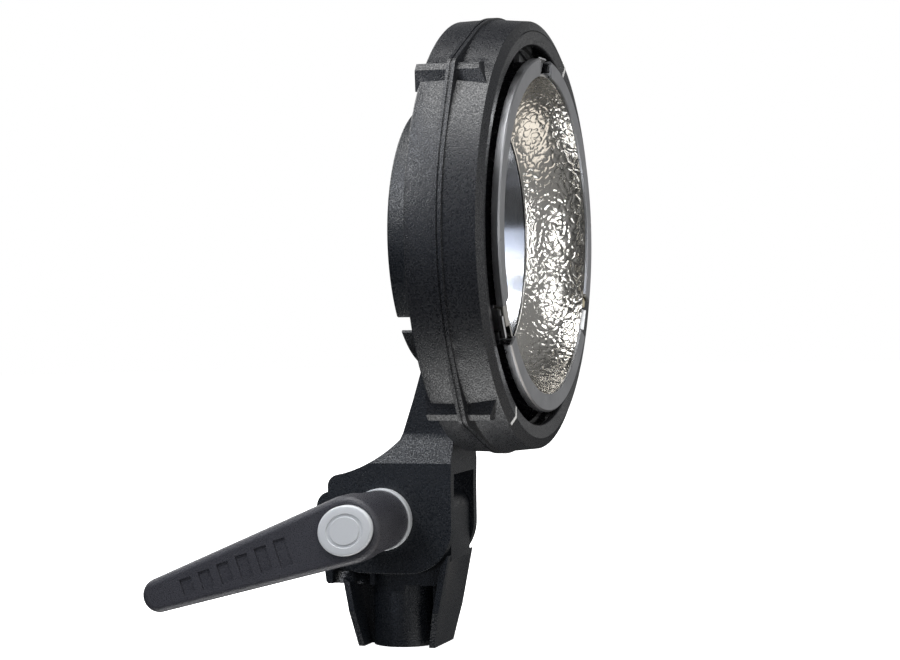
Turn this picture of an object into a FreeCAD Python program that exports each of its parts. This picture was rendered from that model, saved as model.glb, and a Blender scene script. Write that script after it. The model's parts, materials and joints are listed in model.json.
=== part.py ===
"""Reflector adapter for a strobe head: a lever-locked tilting yoke on a stand socket carries a
bayonet core, and a turning grip ring with four corner lugs locks a light modifier onto it.

Frame, millimetres: the origin is the centre of the stand socket's mouth, +Z is up and light leaves
towards -Y. Across the ring, "s" is the distance forwards (towards -Y) from the ring's front edge,
and clock angles run from the top (+Z) towards +X, as seen from the front.
"""
import FreeCAD, Part
import math
import os

from FreeCAD import Vector

os.makedirs("parts", exist_ok=True)

# ---------------------------------------------------------------- driving dimensions
ring_axis_height = 158.0      # ring centre above the socket mouth
ring_face_y = -55.5           # plane of the ring's front edge (s = 0)
ring_turn_at_rest = -3.0      # the grip ring rests this far round, in degrees

# grip ring
ring_front_radius = 81.6
ring_rear_radius = 82.6
ring_seam_radius = 82.9
ring_inner_radius = 79.6
ring_rear_s = -26.4
seam_s = -13.7                # the two halves meet here, inside the rib
rib_half_width = 1.6
rib_radius = 83.5
rib_corner_radius = 6.5
lug_x = 58.5                  # corner of a lug from the ring centre
lug_z = 65.0
lug_rear_s = -28.0
lug_chamfer = 2.4
lip_inner_radius = 74.5       # rear lip that keeps the ring on the core
bezel_inner_radius = 72.6
bezel_outer_radius = 78.0
bezel_top_s = 1.7
bezel_inner_s = 1.1
ring_travel = 25.0            # locking turn, degrees
cam_angle = 14.0              # length of each locking cam, degrees
mark_angles = (33.0, 213.0)   # index marks, before the ring's rest turn
mark_sweep = 1.1

# bayonet core and reflector
core_radius = 76.4
core_wall = 3.5
core_front_s = -1.4
core_rear_s = -24.0
core_floor = 2.5
rim_radius = 67.5
rim_inner_radius = 60.8
rim_front_s = 4.7
notch_width = 16.5
notch_angles = (0.0, 120.0, 240.0)
hole_radius = 47.5
hole_s = -17.2
tube_wall = 0.8
tube_rear_s = -27.0
collar_radius = 50.5
collar_bore_radius = 49.0
collar_rear_s = -43.6
collar_slot_width = 7.6
collar_slot_angles = (229.0, 349.0, 109.0)
head_screw_radius = 54.3
stop_pin_radius = 1.2

# yoke and tilt pivot
pivot_y = 3.0
pivot_z = 50.0
cheek_outer_x = 17.0
cheek_inner_x = 13.0
cheek_front_y = -24.5
cheek_rear_y = 25.5
cheek_bottom_z = 29.0
neck_half_width = 13.0
bolt_radius = 5.0
bolt_head_flats = 17.0
yoke_screw_x = 5.6
yoke_screw_z = 94.0
yoke_pocket_y = -23.5         # floor of the two pockets behind the neck
yoke_clear_radius = 32.5      # free space round the pivot for the socket's block

# stand socket
stud_bore_radius = 8.1
liner_wall = 1.4
bore_depth = 38.0
socket_tube_radius = 12.5
block_half_width = 12.0
block_rear_y = 32.0
block_bottom_z = 24.0
block_top_z = 60.0
rib_pitch = 8.6
rib_thickness = 1.8
sweep_radius = 28.8           # the cheeks' corners swing inside this radius
knob_z = 13.0

# clamp lever
lever_drop = 18.8             # degrees below level, pointing to the rear
lever_length = 80.7           # pivot to the centre of the rounded tip
lever_hub_radius = 12.8
lever_tip_radius = 6.5
lever_outer_x = -59.0
lever_inner_x = -45.0
hub_radius = 11.4
washer_radius = 12.0
washer_thickness = 3.5
button_half_length = 10.8
button_half_height = 9.3
insert_end_x = -44.0          # outer end of the pivot bolt and of the lever's threaded insert

# fasteners and small parts
m3_head_radius = 2.75
m3_head_height = 2.6
m3_shank_radius = 1.5
m3_hole_radius = 1.55
ring_screw_head_radius = 2.4
ring_screw_radius = 1.4
drive_radius = 1.3
knob_screw_radius = 3.0
knob_bush_radius = 4.4
pivot_bush_radius = 6.5
insert_radius = 8.0
lever_screw_radius = 2.0
spring_radius = 5.7
spring_wire = 0.8
press_gap = 0.05              # radial gap of a pressed or running round fit
beyond = 1.0                  # how far a cutter runs past the face it opens

RING_AXIS = Vector(0, 1, 0)
FORWARD = Vector(0, -1, 0)
RING_CENTRE = Vector(0, 0, ring_axis_height)
PIVOT = Vector(0, pivot_y, pivot_z)
X_AXIS = Vector(1, 0, 0)
UP = Vector(0, 0, 1)


# ---------------------------------------------------------------- helpers
def y_of(s):
    """World Y of a distance s forwards of the ring's front edge."""
    return ring_face_y - s


def face_of(points):
    """Flat face inside a closed run of points."""
    return Part.Face(Part.makePolygon(list(points) + [points[0]]))


def ring_solid(profile, sweep=360.0):
    """Turn an (r, s) outline about the ring axis, from the top and clockwise seen from the front."""
    points = [Vector(0, y_of(s), ring_axis_height + r) for r, s in profile]
    return face_of(points).revolve(RING_CENTRE, RING_AXIS, sweep)


def ring_tube(outer, inner, s_low, s_high, sweep=360.0):
    """Tube or arc about the ring axis between two s planes."""
    return ring_solid([(inner, s_low), (outer, s_low), (outer, s_high), (inner, s_high)], sweep)


def turned(shape, degrees):
    """A copy turned about the ring axis, clockwise seen from the front."""
    copy = shape.copy()
    copy.rotate(RING_CENTRE, RING_AXIS, degrees)
    return copy


def at_clock(radius, degrees, y):
    """Point at a clock angle round the ring axis."""
    a = math.radians(degrees)
    return Vector(radius * math.sin(a), y, ring_axis_height + radius * math.cos(a))


def box(x0, x1, y0, y1, z0, z1):
    """Box between two corners."""
    return Part.makeBox(x1 - x0, y1 - y0, z1 - z0, Vector(x0, y0, z0))


def rod_x(radius, x0, x1, y, z):
    """Cylinder along X."""
    return Part.makeCylinder(radius, x1 - x0, Vector(x0, y, z), X_AXIS)


def tube_x(outer, inner, x0, x1, y, z):
    """Tube along X."""
    return rod_x(outer, x0, x1, y, z).cut(rod_x(inner, x0 - beyond, x1 + beyond, y, z))


def clock_box(width, r_low, r_high, s_low, s_high, degrees):
    """Radial block of the given width at a clock angle."""
    half = width / 2
    block = box(-half, half, y_of(s_high), y_of(s_low), ring_axis_height + r_low, ring_axis_height + r_high)
    return turned(block, degrees)


def hull_face(x, big_radius, small_radius, distance, centre):
    """Outline of a big round joined by tangents to a small round, in the plane of X, along +Y."""
    lean = math.acos((big_radius - small_radius) / distance)

    def spot(offset, radius, angle):
        return centre + Vector(x, offset + radius * math.cos(angle), radius * math.sin(angle))

    big_low = spot(0, big_radius, -lean)
    big_high = spot(0, big_radius, lean)
    tip_low = spot(distance, small_radius, -lean)
    tip_high = spot(distance, small_radius, lean)
    edges = [
        Part.Arc(big_high, spot(0, big_radius, math.pi), big_low),
        Part.LineSegment(big_low, tip_low),
        Part.Arc(tip_low, spot(distance, small_radius, 0), tip_high),
        Part.LineSegment(tip_high, big_high),
    ]
    return Part.Face(Part.Wire([edge.toShape() for edge in edges]))


def hexagon_x(across_flats, x0, x1, y, z):
    """Hexagonal bar along X."""
    corner = across_flats / math.sqrt(3)
    points = [Vector(x0, y + corner * math.cos(k * math.pi / 3), z + corner * math.sin(k * math.pi / 3))
              for k in range(6)]
    return face_of(points).extrude(Vector(x1 - x0, 0, 0))


def cap_screw(head_radius, head_height, shank_radius, length, seat, direction, socket):
    """Socket-head screw: the head stands on its seat, the shank runs from there along direction."""
    top = seat - direction * head_height
    screw = Part.makeCylinder(head_radius, head_height, top, direction)
    screw = screw.fuse(Part.makeCylinder(shank_radius, length, seat, direction))
    return screw.cut(Part.makeCylinder(socket, head_height * 0.6, top, direction))


def save(name, shapes):
    """Write one node: a single solid, or a group of separate solids."""
    solids = [solid for shape in shapes for solid in shape.removeSplitter().Solids]
    shape = solids[0] if len(solids) == 1 else Part.makeCompound(solids)
    if not shape.isValid():
        raise ValueError(name + " is not valid")
    print("%-16s %2d solid(s) %10.1f mm3" % (name, len(solids), shape.Volume))
    shape.exportStep("parts/" + name + ".step")


# ---------------------------------------------------------------- grip ring
LUG_SIGNS = ((-1, 1), (1, 1), (1, -1), (-1, -1))


def corner_lugs(s_low, s_high):
    """Four square corners of the grip, between two s planes, solid down to the ring's inner wall."""
    inside = 30.0
    blanks = []
    for sign_x, sign_z in LUG_SIGNS:
        outline = [(inside, inside), (lug_x, inside), (lug_x, lug_z - lug_chamfer),
                   (lug_x - lug_chamfer, lug_z), (inside, lug_z)]
        points = [Vector(sign_x * x, y_of(s_low), ring_axis_height + sign_z * z) for x, z in outline]
        blanks.append(face_of(points).extrude(Vector(0, -(s_high - s_low), 0)))
    lugs = blanks[0].multiFuse(blanks[1:])
    return lugs.cut(ring_tube(ring_inner_radius + 0.6, 0.0, s_low - beyond, s_high + beyond))


def rib_plate(inset, s_low, s_high):
    """Mid rib: a disc whose edge swells out round the four lug corners."""
    tip_inset = 4.0
    reach = math.hypot(lug_x - tip_inset, lug_z - tip_inset)
    plate = ring_tube(rib_radius - inset, 0.0, s_low, s_high)
    for sign_x, sign_z in LUG_SIGNS:
        wedge = hull_face(0, rib_radius - inset, rib_corner_radius - inset, reach, Vector(0, 0, 0))
        wedge = wedge.extrude(Vector(s_high - s_low, 0, 0))
        wedge.rotate(Vector(0, 0, 0), Vector(0, 0, 1), -90)
        clock = math.degrees(math.atan2(sign_x * lug_x, sign_z * lug_z))
        wedge.rotate(Vector(0, 0, 0), RING_AXIS, clock - 90)
        wedge.translate(Vector(0, y_of(s_low), ring_axis_height))
        plate = plate.fuse(wedge)
    return plate.cut(ring_tube(ring_inner_radius, 0.0, s_low - beyond, s_high + beyond))


def lug_front_bevel():
    """Cutters that slope the front end of every lug back from the ring's front edge."""
    slope_foot_z = 53.5
    clear_z = lug_z + 6.0
    ahead = 8.0
    outline = [(0.6, slope_foot_z), (-4.0, lug_z - 1.0), (-4.6, clear_z), (ahead, clear_z),
               (ahead, slope_foot_z)]
    cutters = []
    for sign_x, sign_z in LUG_SIGNS:
        points = [Vector(sign_x * 20, y_of(s), ring_axis_height + sign_z * z) for s, z in outline]
        cutters.append(face_of(points).extrude(Vector(sign_x * 60, 0, 0)))
    return cutters


def ring_stops():
    """Two blocks inside the rear half that meet the core's stop pin at each end of the turn."""
    pin_half_angle = 2.1
    block_angle = 6.0
    block = ring_tube(ring_inner_radius + 0.5, 77.2, -22.0, -17.0, block_angle)
    return [turned(block, start) for start in (pin_half_angle, -ring_travel - pin_half_angle - block_angle)]


def make_grip_ring():
    """The two halves of the grip ring, its bezel, marks, cams and screws, all at their rest turn."""
    edge = 0.5
    lip = 2.0
    rear = ring_solid([(lip_inner_radius, ring_rear_s), (ring_rear_radius - edge, ring_rear_s),
                       (ring_rear_radius, ring_rear_s + edge), (ring_seam_radius, seam_s),
                       (ring_inner_radius, seam_s), (ring_inner_radius, ring_rear_s + lip),
                       (lip_inner_radius, ring_rear_s + lip)])
    seam_inset = 0.45
    seam_half = 0.35
    rear = rear.fuse(rib_plate(0.0, seam_s - rib_half_width, seam_s - seam_half))
    rear = rear.fuse(rib_plate(seam_inset, seam_s - seam_half, seam_s))
    rear = rear.fuse(corner_lugs(lug_rear_s, seam_s))
    for block in ring_stops():
        rear = rear.fuse(turned(block, -ring_turn_at_rest))

    front = ring_solid([(ring_inner_radius, seam_s), (ring_seam_radius, seam_s), (ring_front_radius, 0.0),
                        (bezel_outer_radius, bezel_top_s), (bezel_outer_radius, -1.0),
                        (ring_inner_radius, -2.4)])
    front = front.fuse(rib_plate(seam_inset, seam_s, seam_s + seam_half))
    front = front.fuse(rib_plate(0.0, seam_s + seam_half, seam_s + rib_half_width))
    lugs = corner_lugs(seam_s, 0.0)
    for cutter in lug_front_bevel():
        lugs = lugs.cut(cutter)
    front = front.fuse(lugs)

    bezel_edge = 0.35
    bezel_back_s = -0.9
    bezel = ring_solid([(bezel_inner_radius, bezel_back_s), (bezel_outer_radius, bezel_back_s),
                        (bezel_outer_radius, bezel_top_s - 0.2), (bezel_outer_radius - bezel_edge, bezel_top_s),
                        (bezel_inner_radius + bezel_edge, bezel_inner_s),
                        (bezel_inner_radius, bezel_inner_s - bezel_edge)])

    screws = []
    screw_x = lug_x - 3.1
    screw_z = lug_z - 3.4
    head_height = 2.2
    shank_length = 20.0
    for sign_x, sign_z in LUG_SIGNS:
        seat = Vector(sign_x * screw_x, y_of(lug_rear_s) - head_height, ring_axis_height + sign_z * screw_z)
        screw = cap_screw(ring_screw_head_radius, head_height, ring_screw_radius, shank_length, seat,
                          FORWARD, 1.1)
        hole = Part.makeCylinder(ring_screw_head_radius + press_gap, head_height + beyond, seat, RING_AXIS)
        hole = hole.fuse(Part.makeCylinder(ring_screw_radius + press_gap, shank_length + 0.2, seat, FORWARD))
        rear = rear.cut(hole)
        front = front.cut(hole)
        screws.append(screw)

    cams = ring_tube(ring_inner_radius - 0.1, 77.0, -12.6, -9.4)
    for angle in notch_angles:
        cams = cams.fuse(turned(ring_tube(77.2, 68.8, -12.2, -9.8, cam_angle), angle + cam_angle))

    mark_profile = [(73.8, 1.23), (77.65, 1.71), (78.02, 1.71), (81.1, 0.26), (81.17, 0.39), (78.07, 1.86),
                    (77.6, 1.86), (73.8, 1.37)]
    marks = [turned(ring_solid(mark_profile, mark_sweep), angle) for angle in mark_angles]

    nodes = {"grip_ring_rear": [rear], "grip_ring_front": [front], "front_bezel": [bezel],
             "cam_ring": [cams], "index_marks": marks, "ring_screws": screws}
    for name, shapes in nodes.items():
        save(name, [turned(shape, ring_turn_at_rest) for shape in shapes])


# ---------------------------------------------------------------- bayonet core and reflector
def pin_place(offset):
    """Point on the stop pin's line, offset outwards from the core's wall."""
    return at_clock(core_radius + offset, 0, y_of(-19.5))


def make_core():
    """Fixed drum inside the grip ring, with the slots its cams reach through."""
    cam_slack = 1.5
    inner = core_radius - core_wall
    core = ring_solid([(inner, core_front_s), (core_radius, core_front_s), (core_radius, core_rear_s),
                       (collar_radius - 1.9, core_rear_s), (collar_radius - 1.9, core_rear_s + core_floor),
                       (inner, core_rear_s + core_floor), (inner, -7.4), (inner - 0.8, -7.4),
                       (inner - 0.8, -6.2), (inner, -6.2)])
    for angle in notch_angles:
        window = ring_tube(core_radius + 1, inner - 1, -12.7, -9.3, cam_angle + ring_travel + 2 * cam_slack)
        core = core.cut(turned(window, angle + cam_angle + ring_turn_at_rest - cam_slack))
    rib_count = 16
    rib_step = 360.0 / rib_count
    for k in range(rib_count):
        angle = rib_step * (k + 0.5)
        if abs(angle - 180.0) > 0.6 * rib_step:
            core = core.fuse(clock_box(1.8, 59.5, 73.6, core_rear_s - 1.8, core_rear_s + 0.5, angle))
    core = core.cut(Part.makeCylinder(stop_pin_radius + press_gap, 8.0, pin_place(-4.5), UP))
    screws = []
    for k in range(4):
        seat = at_clock(head_screw_radius, 45 + 90 * k, y_of(core_rear_s - 2.8))
        screws.append(cap_screw(m3_head_radius, m3_head_height, m3_shank_radius, 4.9, seat, FORWARD,
                                drive_radius))
        core = core.cut(Part.makeCylinder(m3_hole_radius, 12.0, seat + RING_AXIS * 2, FORWARD))
    yoke_screws = []
    for sign in (-1, 1):
        seat = Vector(sign * yoke_screw_x, yoke_pocket_y, yoke_screw_z)
        yoke_screws.append(cap_screw(m3_head_radius, m3_head_height, m3_shank_radius, 10.0, seat, FORWARD,
                                     drive_radius))
        core = core.cut(Part.makeCylinder(m3_hole_radius, 14.0, seat + RING_AXIS, FORWARD))
    save("core_housing", [core])
    save("collar_screws", screws)
    save("yoke_screws", yoke_screws)

    pin = Part.makeCylinder(stop_pin_radius, 4.3, pin_place(-3.4), UP)
    pin = pin.fuse(Part.makeCylinder(2.0, 2.4, pin_place(0.3), UP))
    save("stop_pin", [pin])
    leaf = turned(ring_tube(core_radius + 0.65, core_radius + 0.05, -20.5, -15.5, 16.0), 60.0)
    leaf = leaf.fuse(turned(ring_tube(core_radius + 2.4, core_radius + 0.3, -19.5, -16.5, 1.6), 67.2))
    save("detent_leaf", [leaf])


def make_reflector():
    """Satin rim, hammered dish and polished light tube, on their black seat."""
    rim = ring_solid([(rim_inner_radius, rim_front_s - 1.1), (rim_inner_radius, rim_front_s - 0.15),
                      (rim_inner_radius + 0.25, rim_front_s), (rim_radius - 0.6, rim_front_s),
                      (rim_radius, rim_front_s - 0.6), (rim_radius, 1.6), (rim_radius - 0.9, 1.6),
                      (rim_radius - 0.9, rim_front_s - 1.1), (63.2, rim_front_s - 1.1), (63.2, -12.0),
                      (61.95, -12.0), (61.95, rim_front_s - 1.1)])
    for angle in notch_angles:
        rim = rim.cut(clock_box(notch_width, 55.0, 72.0, -1.0, rim_front_s + 1, angle))
        rim = rim.cut(clock_box(10.4, 55.0, 72.0, -10.4, 0.0, angle))
    save("rim_flange", [rim])

    def dish_edge(offset):
        """Arc of the dish wall, offset outwards from its inner face."""
        start = Vector(0, y_of(rim_front_s - 1.2 - offset * 0.2),
                       ring_axis_height + rim_inner_radius - press_gap + offset)
        middle = Vector(0, y_of(-8.2 - offset * 0.55), ring_axis_height + 56.6 + offset * 0.8)
        end = Vector(0, y_of(hole_s - offset), ring_axis_height + hole_radius + offset * 0.1)
        return start, middle, end

    inner_start, inner_middle, inner_end = dish_edge(0.0)
    outer_start, outer_middle, outer_end = dish_edge(1.0)
    edges = [Part.Arc(inner_start, inner_middle, inner_end).toShape(),
             Part.LineSegment(inner_end, outer_end).toShape(),
             Part.Arc(outer_end, outer_middle, outer_start).toShape(),
             Part.LineSegment(outer_start, inner_start).toShape()]
    dish = Part.Face(Part.Wire(edges)).revolve(RING_CENTRE, RING_AXIS, 360)
    for angle in notch_angles:
        dish = dish.cut(clock_box(notch_width - 5.0, 58.0, 70.0, -1.0, rim_front_s + 1, angle))
    save("reflector_dish", [dish])

    save("light_tube", [ring_tube(hole_radius + tube_wall, hole_radius, tube_rear_s, hole_s - 1.1)])

    seat = ring_tube(rim_radius - 1.1, rim_radius - 4.2, core_rear_s + core_floor + 0.1, rim_front_s - 1.15)
    for angle in notch_angles:
        seat = seat.cut(clock_box(notch_width, 55.0, 72.0, -9.0, rim_front_s, angle))
    save("bayonet_seat", [seat])

    tabs = []
    tab_path = [(59.4, -8.6), (60.0, -8.9), (61.9, 0.4), (65.9, 1.5), (67.0, 3.2), (66.3, 3.6), (65.4, 2.3),
                (61.3, 1.2)]
    for angle in notch_angles:
        points = [Vector(-4.5, y_of(s), ring_axis_height + r + 0.9) for r, s in tab_path]
        tabs.append(turned(face_of(points).extrude(Vector(9.0, 0, 0)), angle))
    save("spring_tabs", tabs)
    pad = box(-8.2, -5.2, y_of(3.0), y_of(-3.0), ring_axis_height + 63.3, ring_axis_height + 66.2)
    save("catch_pad", [turned(pad, 120.0)])


def make_collar():
    """Rear collar that takes the strobe head, with three bayonet slots and a screwed flange."""
    tube_seat_radius = hole_radius + tube_wall + 0.1
    collar = ring_solid([(collar_bore_radius, collar_rear_s), (collar_radius - 0.6, collar_rear_s),
                         (collar_radius, collar_rear_s + 0.6), (collar_radius, core_rear_s - 2.8),
                         (58.0, core_rear_s - 2.8), (58.0, core_rear_s), (tube_seat_radius, core_rear_s),
                         (tube_seat_radius, tube_rear_s - 0.2), (collar_bore_radius, tube_rear_s - 0.2)])
    for angle in collar_slot_angles:
        slot = clock_box(collar_slot_width, 40.0, 54.0, collar_rear_s - beyond, core_rear_s - 3.4, angle)
        collar = collar.cut(slot)
    for k in range(4):
        seat = at_clock(head_screw_radius, 45 + 90 * k, y_of(core_rear_s - 6))
        collar = collar.cut(Part.makeCylinder(m3_hole_radius, 12.0, seat, FORWARD))
    save("rear_collar", [collar])


# ---------------------------------------------------------------- yoke, pivot and stand socket
def cheek_outline():
    """Side outline of the yoke in the Y-Z plane: rounded cheek below, narrow neck above."""
    front_round = 18.0
    rear_round = 14.0
    turn = math.sqrt(0.5)
    x = -cheek_outer_x

    def p(y, z):
        return Vector(x, y, z)

    front_centre = p(cheek_front_y + front_round, cheek_bottom_z + front_round)
    rear_centre = p(cheek_rear_y - rear_round, cheek_bottom_z + rear_round)
    start = p(front_centre.y, cheek_bottom_z)
    edges = [
        Part.LineSegment(start, p(rear_centre.y, cheek_bottom_z)),
        Part.Arc(p(rear_centre.y, cheek_bottom_z),
                 rear_centre + Vector(0, rear_round * turn, -rear_round * turn),
                 p(cheek_rear_y, rear_centre.z)),
        Part.LineSegment(p(cheek_rear_y, rear_centre.z), p(cheek_rear_y, 62.5)),
        Part.Arc(p(cheek_rear_y, 62.5), p(24.2, 65.6), p(21.2, 67.0)),
        Part.Arc(p(21.2, 67.0), p(8.0, 71.9), p(-3.2, 80.4)),
        Part.LineSegment(p(-3.2, 80.4), p(-4.4, 83.2)),
        Part.LineSegment(p(-4.4, 83.2), p(-8.6, 95.6)),
        Part.LineSegment(p(-8.6, 95.6), p(-13.0, 110.0)),
        Part.LineSegment(p(-13.0, 110.0), p(-31.4, 110.0)),
        Part.LineSegment(p(-31.4, 110.0), p(-31.4, 87.0)),
        Part.LineSegment(p(-31.4, 87.0), p(-28.2, 87.0)),
        Part.LineSegment(p(-28.2, 87.0), p(-25.0, 80.0)),
        Part.LineSegment(p(-25.0, 80.0), p(cheek_front_y, 62.0)),
        Part.LineSegment(p(cheek_front_y, 62.0), p(cheek_front_y, front_centre.z)),
        Part.Arc(p(cheek_front_y, front_centre.z),
                 front_centre + Vector(0, -front_round * turn, -front_round * turn), start),
    ]
    return Part.Face(Part.Wire([edge.toShape() for edge in edges]))


def make_yoke():
    """Two cheeks joined by a neck that bolts to the back of the core, under the collar."""
    yoke = cheek_outline().extrude(Vector(2 * cheek_outer_x, 0, 0))
    for sign in (-1, 1):
        slope = [(cheek_outer_x + 0.01, 71.5), (neck_half_width, 82.5), (neck_half_width, 130), (40, 130),
                 (40, 71.5)]
        points = [Vector(sign * x, -40, z) for x, z in slope]
        yoke = yoke.cut(face_of(points).extrude(Vector(0, 80, 0)))
    slot = rod_x(yoke_clear_radius, -cheek_inner_x, cheek_inner_x, pivot_y, pivot_z)
    slot = slot.fuse(box(-cheek_inner_x, cheek_inner_x, -40, 40, 10, pivot_z))
    yoke = yoke.cut(slot)
    for sign in (-1, 1):
        x_low, x_high = sorted((sign * 1.4, sign * 9.8))
        yoke = yoke.cut(box(x_low, x_high, yoke_pocket_y, 0, 86.5, 104.5))
        seat = Vector(sign * yoke_screw_x, yoke_pocket_y + beyond, yoke_screw_z)
        yoke = yoke.cut(Part.makeCylinder(m3_hole_radius, 12.0, seat, FORWARD))
    yoke = yoke.cut(ring_tube(58.3, 0.0, core_rear_s - 3.0, core_rear_s + 1))
    yoke = yoke.cut(ring_tube(collar_radius + 0.1, 0.0, collar_rear_s - 5, core_rear_s))
    boss = rod_x(13.0, cheek_outer_x - 0.5, cheek_outer_x + 4.5, pivot_y, pivot_z)
    yoke = yoke.fuse(boss)
    yoke = yoke.cut(rod_x(bolt_radius + press_gap, -30, 30, pivot_y, pivot_z))
    yoke = yoke.cut(hexagon_x(bolt_head_flats + 0.2, cheek_outer_x, cheek_outer_x + 10, pivot_y, pivot_z))
    save("yoke_bracket", [yoke])

    bolt = hexagon_x(bolt_head_flats, cheek_outer_x, cheek_outer_x + 5.5, pivot_y, pivot_z)
    bolt = bolt.fuse(rod_x(bolt_radius, insert_end_x, cheek_outer_x, pivot_y, pivot_z))
    bolt = bolt.cut(rod_x(lever_screw_radius + 0.15, insert_end_x - beyond, -34.0, pivot_y, pivot_z))
    save("pivot_bolt", [bolt])


def socket_fin(sign, wide_y, wide_z):
    """Upright wall at the front or back of the socket, tapering in towards the mouth."""
    narrow_y = 15.5
    thick = 2.4
    side = [(narrow_y, 0), (wide_y, wide_z), (wide_y - thick, wide_z), (narrow_y - thick, 0)]
    wall = face_of([Vector(-20, sign * y, z) for y, z in side]).extrude(Vector(40, 0, 0))
    front = [(-12, 0), (12, 0), (16, 14), (16, 60), (-16, 60), (-16, 14)]
    return wall.common(face_of([Vector(x, -40, z) for x, z in front]).extrude(Vector(0, 80, 0)))


def make_socket():
    """Stand socket: a bored tube between two walls, under a ribbed block that holds the pivot."""
    socket = Part.makeCylinder(socket_tube_radius, 44.0)
    socket = socket.fuse(socket_fin(-1, 22.8, 36.0))
    socket = socket.fuse(socket_fin(1, 20.4, 28.0))
    web = [(-15.0, 0), (15.0, 0), (19.5, 27), (-21.8, 35)]
    web_solid = face_of([Vector(-3.0, y, z) for y, z in web]).extrude(Vector(6.0, 0, 0))
    socket = socket.fuse(web_solid)
    swept = rod_x(sweep_radius, -40, -block_half_width, pivot_y, pivot_z)
    swept = swept.fuse(rod_x(sweep_radius, block_half_width, 40, pivot_y, pivot_z))
    socket = socket.cut(swept)

    x = -block_half_width

    def p(y, z):
        return Vector(x, y, z)

    outline = [
        Part.LineSegment(p(-22.8, 34), p(-22.8, 53)),
        Part.Arc(p(-22.8, 53), p(-20.7, 58), p(-15.8, block_top_z)),
        Part.LineSegment(p(-15.8, block_top_z), p(block_rear_y - 6, block_top_z)),
        Part.Arc(p(block_rear_y - 6, block_top_z), p(block_rear_y - 1.7, 58.2), p(block_rear_y, 54)),
        Part.LineSegment(p(block_rear_y, 54), p(28.6, block_bottom_z + 1)),
        Part.LineSegment(p(28.6, block_bottom_z + 1), p(27.8, block_bottom_z)),
        Part.LineSegment(p(27.8, block_bottom_z), p(-16, block_bottom_z)),
        Part.LineSegment(p(-16, block_bottom_z), p(-22.8, 34)),
    ]
    block = Part.Face(Part.Wire([edge.toShape() for edge in outline]))
    block = block.extrude(Vector(2 * block_half_width, 0, 0))
    keep = rod_x(22.0, -20, 20, pivot_y, pivot_z)
    for sign in (-1, 1):
        for k in range(3):
            y0 = 1.0 + rib_pitch * k + rib_thickness / 2
            y1 = y0 + rib_pitch - rib_thickness
            x_low, x_high = sorted((sign * 8.0, sign * 20.0))
            pocket = box(x_low, x_high, y0, y1, block_bottom_z + 4.5, block_top_z - 4.0)
            block = block.cut(pocket.cut(keep))
            outside = block_half_width + 0.01
            lip = [(outside, block_bottom_z + 4.5), (8.0, block_bottom_z + 4.5), (10.4, block_bottom_z - 1),
                   (outside, block_bottom_z - 1)]
            points = [Vector(sign * u, y0, z) for u, z in lip]
            block = block.cut(face_of(points).extrude(Vector(0, y1 - y0, 0)))
    socket = socket.fuse(block)
    screw_boss = rod_x(6.6, 6.0, 17.5, 0, knob_z)
    socket = socket.fuse(screw_boss)
    liner_radius = stud_bore_radius + liner_wall
    socket = socket.cut(Part.makeCylinder(liner_radius + press_gap, bore_depth + 0.6, UP * -1))
    socket = socket.cut(rod_x(knob_bush_radius + press_gap, 5.0, 20.0, 0, knob_z))
    socket = socket.cut(rod_x(pivot_bush_radius + press_gap, -20, 20, pivot_y, pivot_z))
    save("stand_socket", [socket])

    liner = Part.makeCylinder(liner_radius, bore_depth - 0.5, Vector(0, 0, 0))
    liner = liner.cut(Part.makeCylinder(stud_bore_radius, bore_depth + 2, UP * -1))
    liner = liner.cut(rod_x(3.25, 4.0, 12.0, 0, knob_z))
    save("socket_liner", [liner])

    bush = tube_x(pivot_bush_radius, bolt_radius + press_gap, -block_half_width, block_half_width,
                  pivot_y, pivot_z)
    save("pivot_bush", [bush])
    discs = [tube_x(21.0, pivot_bush_radius + 0.1, x0, x0 + 0.8, pivot_y, pivot_z) for x0 in (-12.85, 12.05)]
    save("friction_discs", discs)
    save("knob_insert", [tube_x(knob_bush_radius, knob_screw_radius + press_gap, 11.4, 17.4, 0, knob_z)])


# ---------------------------------------------------------------- stand lock knob
def make_lock_knob():
    """Clamp shoe, its screw and a lobed knob, on the right of the socket."""
    save("clamp_shoe", [rod_x(2.9, 8.6, 11.2, 0, knob_z)])
    save("knob_screw", [rod_x(knob_screw_radius, 11.2, 24.0, 0, knob_z)])
    grip = rod_x(8.2, 19.0, 30.0, 0, knob_z)
    lobe_circle = 7.0
    for k in range(6):
        angle = math.radians(60 * k)
        lobe_y = lobe_circle * math.cos(angle)
        grip = grip.fuse(rod_x(2.2, 20.0, 29.0, lobe_y, knob_z + lobe_circle * math.sin(angle)))
    grip = grip.cut(rod_x(knob_screw_radius, 18.0, 24.0, 0, knob_z))
    save("knob_grip", [grip])


# ---------------------------------------------------------------- clamp lever and button
def lever_turned(shape):
    """Swing a shape built level, pointing to the rear, down to the lever's rest angle."""
    copy = shape.copy()
    copy.rotate(PIVOT, X_AXIS, -lever_drop)
    return copy


def oval_x(half_length, half_height, x0, x1):
    """Oval bar along X at the pivot, its long way along the lever."""
    centre = Vector(x0, pivot_y, pivot_z)
    ellipse = Part.Ellipse(centre + Vector(0, half_length, 0), centre + Vector(0, 0, half_height), centre)
    return Part.Face(Part.Wire([ellipse.toShape()])).extrude(Vector(x1 - x0, 0, 0))


def grip_grooves():
    """Cutters of the shallow cross grooves in the lever's outer face, shorter towards its tip."""
    depth = 0.7
    width = 5.0
    pitch = 8.2
    cutters = []
    for k in range(6):
        y0 = pivot_y + 24.0 + pitch * k
        half = 5.2 - 0.45 * k
        cutters.append(box(lever_outer_x - beyond, lever_outer_x + depth, y0, y0 + width, pivot_z - half,
                           pivot_z + half))
    return cutters


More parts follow.
